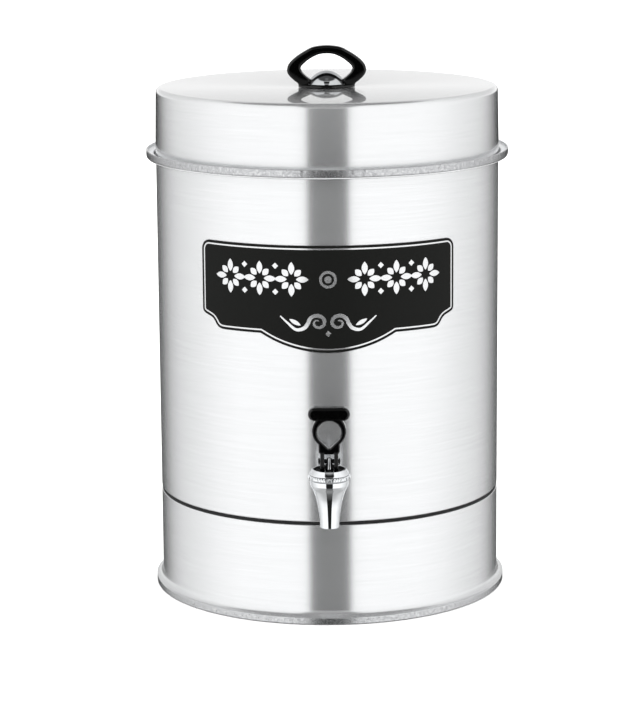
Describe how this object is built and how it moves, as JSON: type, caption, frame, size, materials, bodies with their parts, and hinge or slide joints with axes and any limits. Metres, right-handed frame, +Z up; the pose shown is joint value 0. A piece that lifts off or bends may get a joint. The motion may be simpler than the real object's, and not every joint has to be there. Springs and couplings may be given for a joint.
{
  "type": "cold brew coffee maker",
  "caption": "Round brushed steel cold brew maker on a stand, with lift-off lid and loop knob, inner filter basket, blank black label and self-closing lever tap.",
  "frame": {"origin": "on the floor, at the middle of the bounding box; the tank's axis is 20 mm behind it, at y = +0.020", "axes": "+Z up, front with the tap towards -Y, +X to the right as seen from the front"},
  "size_m": [0.2746, 0.3146, 0.4144],
  "materials": {
    "brushed_steel": "brushed round the tank",
    "inner_steel": "satin",
    "fastener_steel": "plain zinc-grey steel",
    "chrome": "mirror",
    "black_moulding": "glossy",
    "label_print": "satin black with bare ornaments",
    "black_rubber": "dull",
    "silicone": "satin"
  },
  "bodies": {
    "tank_and_stand": {"base_skirt": "brushed_steel", "foot_ring": "black_rubber", "base_shelf": "inner_steel", "seam_gasket": "black_rubber", "base_screw_1": "fastener_steel", "base_screw_2": "fastener_steel", "base_screw_3": "fastener_steel", "base_screw_4": "fastener_steel", "weld_nut_1": "fastener_steel", "weld_nut_2": "fastener_steel", "weld_nut_3": "fastener_steel", "weld_nut_4": "fastener_steel", "tank_wall": "brushed_steel", "tank_foot": "inner_steel", "tank_floor": "inner_steel", "mouth_ring": "brushed_steel", "front_label": "label_print", "tap_body": "chrome", "tap_collar": "chrome", "tap_bonnet": "chrome", "tap_washer_outer": "black_rubber", "tap_washer_inner": "black_rubber", "tap_nut": "chrome"},
    "lid": {"lid_shell": "brushed_steel", "knob_loop": "black_moulding", "knob_dome": "chrome", "knob_screw": "fastener_steel", "knob_washer": "fastener_steel"},
    "filter_basket": {"basket_rim": "inner_steel", "basket_wall": "inner_steel", "basket_floor": "inner_steel", "basket_bail": "fastener_steel"},
    "stem": {"tap_stem": "chrome", "tap_seat_cup": "silicone", "tap_spring": "fastener_steel", "tap_pin": "chrome"},
    "lever": {"tap_lever": "black_moulding"}
  },
  "joints": [
    {"name": "lid_lift", "type": "slide", "parent": "tank_and_stand", "child": "lid", "axis": [0, 0, 1], "range_m": [0, 0.3]},
    {"name": "basket_lift", "type": "slide", "parent": "tank_and_stand", "child": "filter_basket", "axis": [0, 0, 1], "range_m": [0, 0.225]},
    {"name": "stem_lift", "type": "slide", "parent": "tank_and_stand", "child": "stem", "axis": [0, 0, 1], "range_m": [0, 0.0022], "deforming": ["tap_spring"]},
    {"name": "lever_tilt", "type": "hinge", "parent": "stem", "child": "lever", "pos_m": [0, -0.142, 0.131], "axis": [1, 0, 0], "range_deg": [0, 50], "stiffness_Nm_per_rad": 0.02, "springref_deg": -57.3}
  ],
  "couplings": [
    {"joint": "basket_lift", "follows": "lid_lift", "ratio": 0.75},
    {"joint": "stem_lift", "follows": "lever_tilt", "m_per_rad": 0.0025}
  ]
}
